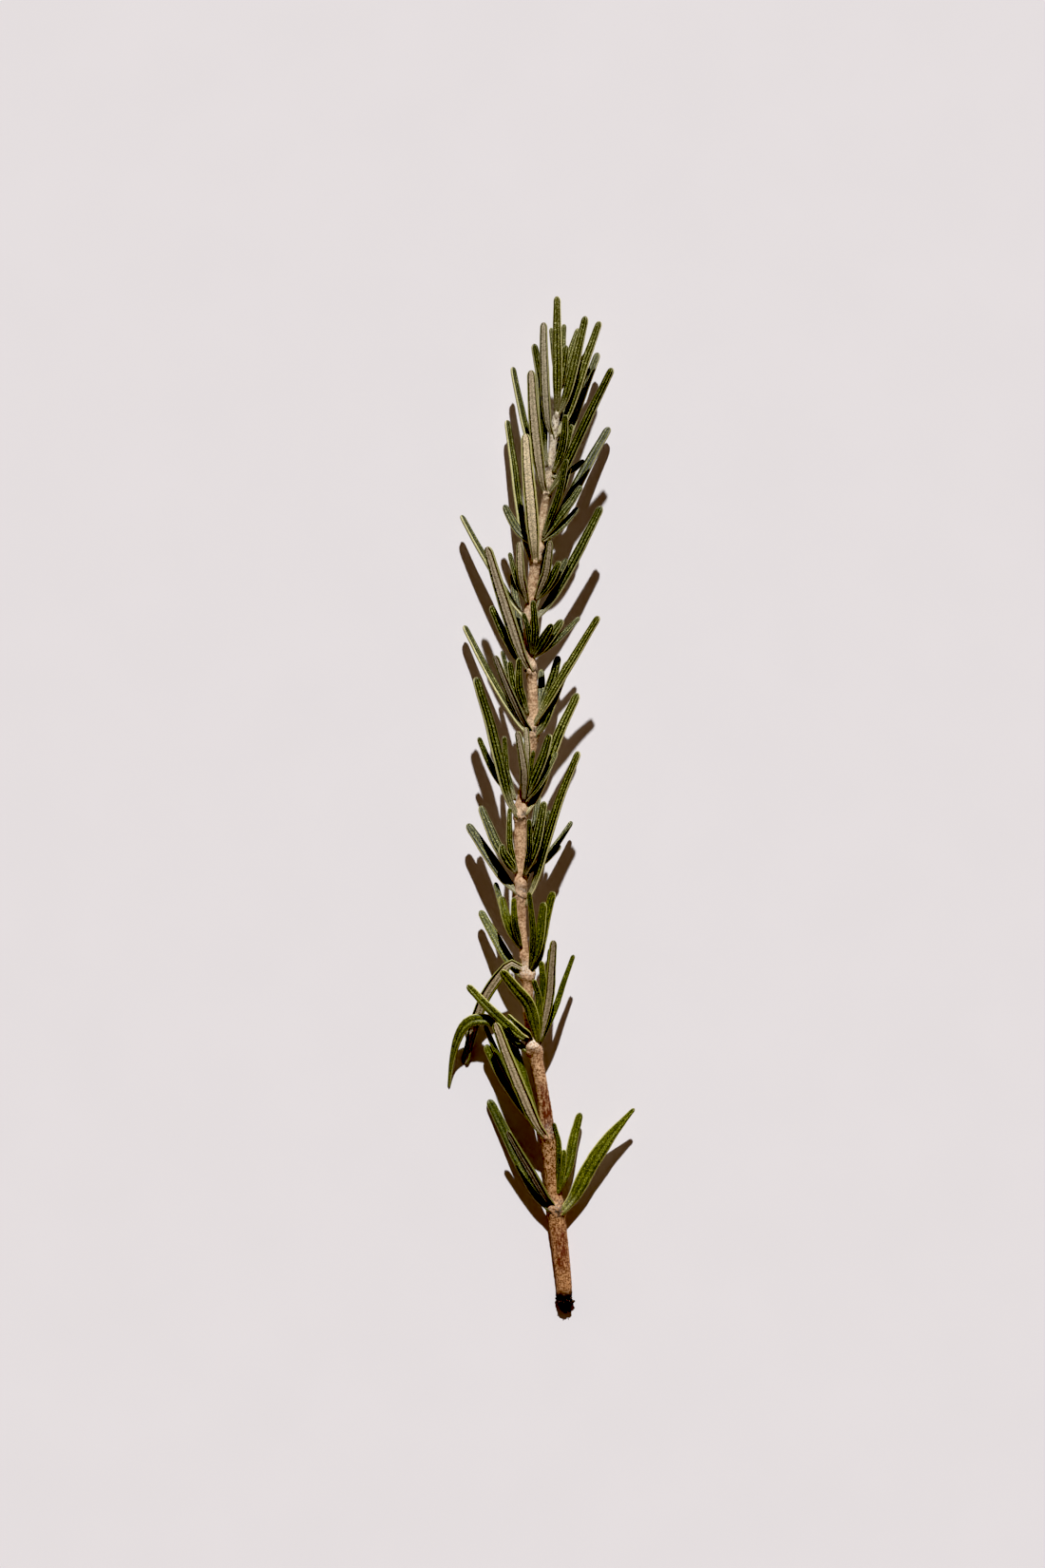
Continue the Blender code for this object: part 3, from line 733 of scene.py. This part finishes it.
def make_leaf_material(name, dark, green, light, felt, roughness, groove, downy):
    """A leaf's grainy top, rolled margins and felt; groove and downy: how strongly its creases are
    painted with shade, and how pale its foot is.
    """
    material, tree, shader, where = new_material(name, roughness)
    along, around = sheet_map(tree)
    fold = maths(tree, "ABSOLUTE", maths(tree, "SUBTRACT", around, 0.5))
    fold = maths(tree, "MULTIPLY", fold, 2.0)  # 0 along the groove on top, 1 along the midrib
    grain = texture(tree, "Noise", where, 5200.0, Detail=2.0)
    drift = texture(tree, "Noise", where, 260.0, Detail=3.0)
    top = ramp(tree, grain, (0.32, light), (0.45, green), (0.52, green), (0.70, dark))
    shade = ramp(tree, drift, (0.3, 0.7), (0.7, 1.25))
    top = mixed(tree, 1.0, top, shade, "MULTIPLY")
    # painted shade: the groove on top is darkened, and so is a line just inside each margin, where
    # shade falls in these creases
    crease_shade = ramp(
        tree,
        fold,
        (0.05, groove),
        (0.09, 1.1),
        (0.15, 1.0),
        (0.19, groove),
        (0.23, groove),
        (0.27, 1.0),
    )
    top = mixed(tree, 1.0, top, crease_shade, "MULTIPLY")
    fuzz = texture(tree, "Noise", where, 4400.0, Detail=3.0)
    felt_dark = tuple(0.42 * c for c in felt)
    under = mixed(tree, ramp(tree, fuzz, (0.38, 0.0), (0.56, 1.0)), felt_dark, felt)
    rib = ramp(tree, fold, (0.84, 0.0), (0.87, 0.75), (0.90, 0.1), (0.96, 0.3))
    under = mixed(tree, rib, under, tuple(0.9 * g + 0.2 * f for g, f in zip(green, felt)))
    is_under = ramp(tree, fold, (0.64, 0.0), (0.68, 1.0))
    colour = mixed(tree, is_under, top, under)
    # painted highlight, partly the pale hairs: both turns of the margin are painted pale where they
    # catch the light and their short hairs stand out
    rim_highlight = ramp(
        tree,
        fold,
        (0.25, 0.0),
        (0.29, 0.9),
        (0.38, 0.9),
        (0.42, 0.2),
        (0.47, 0.6),
        (0.54, 0.6),
        (0.58, 0.0),
    )
    rim_highlight = maths(tree, "MULTIPLY", rim_highlight, ramp(tree, grain, (0.42, 0.4), (0.55, 1.0)))
    pale = tuple(0.95 * l + 0.3 * f for l, f in zip(light, felt))
    colour = mixed(tree, rim_highlight, colour, pale)
    # painted shadow: between the margin and the felt runs a dark line where shade falls into the
    # gap, broken where the felt crosses it
    gap = ramp(tree, fold, (0.56, 0.0), (0.60, 1.0), (0.70, 1.0), (0.745, 0.0))
    broken = ramp(tree, fuzz, (0.54, 1.0), (0.64, 0.35))
    line = maths(tree, "MULTIPLY", gap, broken)
    colour = mixed(tree, line, colour, (0.010, 0.009, 0.004))
    # the foot is short of green: pale and downy where it comes out of the joint
    foot = ramp(tree, along, (0.04, downy), (0.18, 0.0))
    foot = maths(tree, "MULTIPLY", foot, ramp(tree, fuzz, (0.40, 0.35), (0.60, 1.0)))
    colour = mixed(tree, foot, colour, tuple(0.2 * l + 0.75 * f for l, f in zip(light, felt)))
    # the very tip is drying out
    point = ramp(tree, along, (0.955, 0.0), (1.0, 0.75))
    colour = mixed(tree, point, colour, (0.20, 0.15, 0.035))
    # the tone pales or darkens each leaf, painted shade included
    tint = mixed(tree, attribute(tree, "tone"), (0.45, 0.46, 0.5), (1.65, 1.60, 1.5))
    colour = mixed(tree, 1.0, colour, tint, "MULTIPLY")
    tree.links.new(colour, shader.inputs["Base Color"])
    bumped(tree, shader, mixed(tree, is_under, grain, fuzz), 0.09 * MM)
    return material


leaf_looks = {
    "old_leaf": make_leaf_material(
        "old_leaf",
        dark=(0.026, 0.031, 0.010),
        green=(0.100, 0.108, 0.021),
        light=(0.39, 0.40, 0.100),
        felt=(0.55, 0.45, 0.31),
        roughness=0.45,
        groove=0.6,
        downy=0.25,
    ),
    "leaf": make_leaf_material(
        "leaf",
        dark=(0.026, 0.030, 0.012),
        green=(0.098, 0.104, 0.032),
        light=(0.47, 0.47, 0.20),
        felt=(0.64, 0.55, 0.40),
        roughness=0.45,
        groove=0.12,
        downy=0.5,
    ),
    "young_leaf": make_leaf_material(
        "young_leaf",
        dark=(0.045, 0.049, 0.018),
        green=(0.150, 0.149, 0.047),
        light=(0.58, 0.57, 0.27),
        felt=(0.70, 0.62, 0.45),
        roughness=0.5,
        groove=0.2,
        downy=0.6,
    ),
}


def age_of(name):
    """The older leaves are by the cut end, the young ones at the tip."""
    joint = int(name.split("_")[1])
    return "old_leaf" if joint <= 4 else "leaf" if joint <= 11 else "young_leaf"


TONES = {  # 0 to 1: leaves that are clearly darker or paler than the rest, which lie at 0.35 to 0.55; partly each leaf's own colour, partly painted shade on leaves that lie in shadow
    "leaf_01_front": 0.05,
    "leaf_01_left": 0.2,
    "leaf_01_right": 0.6,
    "leaf_07_front": 0.15,
    "leaf_12_left": 0.15,
    "leaf_13_left": 0.3,
    "leaf_10_right": 0.2,
    "leaf_12_right": 0.2,
    "leaf_06_right": 0.85,
    "leaf_07_high": 0.75,
    "leaf_05_right": 0.7,
    "leaf_10_front": 0.9,
    "leaf_03_left": 0.65,
}


def tone_of(name, rng):
    """How pale a leaf is, from 0 to 1, with painted shade on leaves in shadow."""
    return TONES.get(name, rng.uniform(0.35, 0.55))


rng = random.Random(11)
for name in leaf_nodes:
    rings, tip = cad_leaves[name]
    middles = [ring[0] for ring in rings]
    flat = rings[1:]
    normals = [face_up(ring[3], name in UNDERSIDE_UP) for ring in flat]
    if len(rings) < FEWEST_BENT_RINGS:  # a straight leaf looks the same way all along
        normal = sum(normals[1:3], Vector()).normalized()
        normals = [normal] * (len(middles) + 2)
    else:
        for i in range(1, len(normals)):
            if normals[i].dot(normals[i - 1]) < 0:
                normals[i] = -normals[i]
        normals = [normals[0]] * 2 + normals + [normals[-1]]
    points = [clasping_foot(name, 0.5, 1.3), clasping_foot(name, 1.05, 0.1), *middles[1:], tip]
    half_width = max(ring[1] for ring in rings)
    half_thickness = max(ring[2] for ring in rings)
    shape = new_shape()
    tone_layer = shape.verts.layers.float.new("tone")
    pointed = name in POINTED
    blade(shape, points, normals, half_width, half_thickness, tone_of(name, rng), rng, pointed)
    age = age_of(name)
    finished(shape, name + "_blade", leaf_looks[age], name)

# ---------------------------------------------------------------------------- the shoots
# In the corner above each leaf a short side shoot has started: a downy stalk a few
# millimetres long with a fan of narrow young leaves. The last one is the growing tip.
STALK_COLUMNS, STALK_ROWS = 14, 16
SHOOT_UNDERSIDES = {  # how many of a shoot's furthest leaves lie with the underside up
    "shoot_03_right": 1,
    "shoot_06_right": 2,
    "shoot_09_left": 1,
    "shoot_09_right": 1,
}
STALK_RADIUS, STALK_TIP_RADIUS = 0.40 * MM, 0.24 * MM
STALK_TONE = 0.2
CROWN_DEPTH, CROWN_RISE = 0.95, 0.9  # of the place the leaves spread from: in radii, in mm


def stalk(shape, start, end):
    """Adds a shoot's downy stalk, from inside the bark to where its leaves part."""
    along = (end - start).normalized()
    side = along.orthogonal().normalized()
    normal = side.cross(along)

    def place_point(column, row):
        share = column / STALK_COLUMNS
        angle = 2 * math.pi * (row % STALK_ROWS) / STALK_ROWS
        radius = STALK_RADIUS + (STALK_TIP_RADIUS - STALK_RADIUS) * share
        radius *= math.sqrt(max(0.0, 1 - (2 * share - 1) ** 8))
        out = side * math.cos(angle) + normal * math.sin(angle)
        place = start.lerp(end, share)
        radius *= 1 + 0.18 * noise.noise((place + out * radius) / MM * 2)
        return place + out * radius

    made = roll(shape, STALK_COLUMNS, STALK_ROWS, place_point)
    for vert in made:
        vert[tone_layer] = STALK_TONE
    sew(shape, made)


for name in shoot_nodes:
    base, leaves = cad_shoots[name]
    age = age_of(name)
    shape = new_shape()
    tone_layer = shape.verts.layers.float.new("tone")
    crown = clasping_foot(name, CROWN_DEPTH, -CROWN_RISE)
    for i, (rings, tip) in enumerate(leaves):
        middles = [ring[0] for ring in rings]
        if len(middles) > 1:
            start = middles[0] + (middles[0] - middles[1]) * 1.1
        else:
            start = tip.lerp(base, 0.85)
        start = crown.lerp(start, 0.15)
        underside = i < SHOOT_UNDERSIDES.get(name, 0)
        best = rings[max(0, len(rings) - 3)] if rings else None
        flat = face_up(best[3], underside) if best else Vector((0, 0, 1))
        half_width = max([ring[1] for ring in rings], default=0.5 * MM)
        half_thickness = max([ring[2] for ring in rings], default=0.25 * MM)
        points = [start, *middles, tip]
        tone = rng.uniform(0.25, 0.6)
        blade(shape, points, [flat] * len(points), half_width, half_thickness, tone, rng)
    stalk(shape, clasping_foot(name, 0.3, 0.6), crown)
    finished(shape, name + "_leaves", leaf_looks[age], name)

# ---------------------------------------------------------------------------- the setting
# The sprig lies on a plain pale table and is seen from straight above. One strong soft
# light comes low over its tip, and a pale room fills the shadows.
VIEW_HEIGHT = 0.767  # of the camera above the table
VIEW_LENGTH = 0.275  # what the camera sees along the sprig, at the height of the stem
STEM_HEIGHT = 0.007
VIEW_SHIFT = (-3.3 * MM, 3.2 * MM)  # of the camera from the middle of the sprig
SENSOR = 36.0
ROOM_LIGHT, WINDOW_LIGHT = 0.384, 5.06
WINDOW_WAY = (0.04, 1.0, 0.72)  # from the table towards the light

bpy.ops.mesh.primitive_plane_add(size=4.0)
table = bpy.context.object
table.name = "table"
table_look, tree, shader, where = new_material("table", 0.9)
mottle = texture(tree, "Noise", where, 60.0, Detail=2.0)
tree.links.new(
    ramp(tree, mottle, (0.3, (0.73, 0.718, 0.752)), (0.7, (0.74, 0.727, 0.762))),
    shader.inputs["Base Color"],
)
table.data.materials.append(table_look)

world = bpy.data.worlds.new("room")
bpy.context.scene.world = world
world.use_nodes = True
tree = world.node_tree
room = tree.nodes["Background"]
room.inputs["Color"].default_value = (1.0, 0.67, 0.48, 1.0)
# the room is brightest low down, so little of its light gets in between the leaves
upward = tree.nodes.new("ShaderNodeSeparateXYZ")
tree.links.new(tree.nodes.new("ShaderNodeTexCoord").outputs["Generated"], upward.inputs[0])
sideways = maths(tree, "SUBTRACT", 1.0, maths(tree, "ABSOLUTE", upward.outputs["Z"]))
tree.links.new(maths(tree, "MULTIPLY", sideways, ROOM_LIGHT), room.inputs["Strength"])

lamp = bpy.data.lights.new("window", "SUN")
lamp.energy = WINDOW_LIGHT
lamp.angle = math.radians(1.2)
lamp.color = (1.0, 0.996, 0.981)
window = bpy.data.objects.new("window", lamp)
bpy.context.scene.collection.objects.link(window)
window.rotation_euler = Vector(WINDOW_WAY).to_track_quat("Z", "Y").to_euler()

lens = bpy.data.cameras.new("above")
lens.sensor_width = SENSOR
lens.lens = SENSOR * (VIEW_HEIGHT - STEM_HEIGHT) / VIEW_LENGTH
lens.clip_start, lens.clip_end = 0.01, 10.0
camera = bpy.data.objects.new("above", lens)
bpy.context.scene.collection.objects.link(camera)
low, high = cad_box
middle = 0.5 * (low + high)
camera.location = (middle.x + VIEW_SHIFT[0], middle.y + VIEW_SHIFT[1], VIEW_HEIGHT)
bpy.context.scene.camera = camera

# A contrasty print: plain tones, with the deepest shadows closed up.
print_look = bpy.context.scene.view_settings
print_look.view_transform = "Standard"
print_look.use_curve_mapping = True
print_look.curve_mapping.black_level = (0.042, 0.040, 0.038)
print_look.curve_mapping.update()
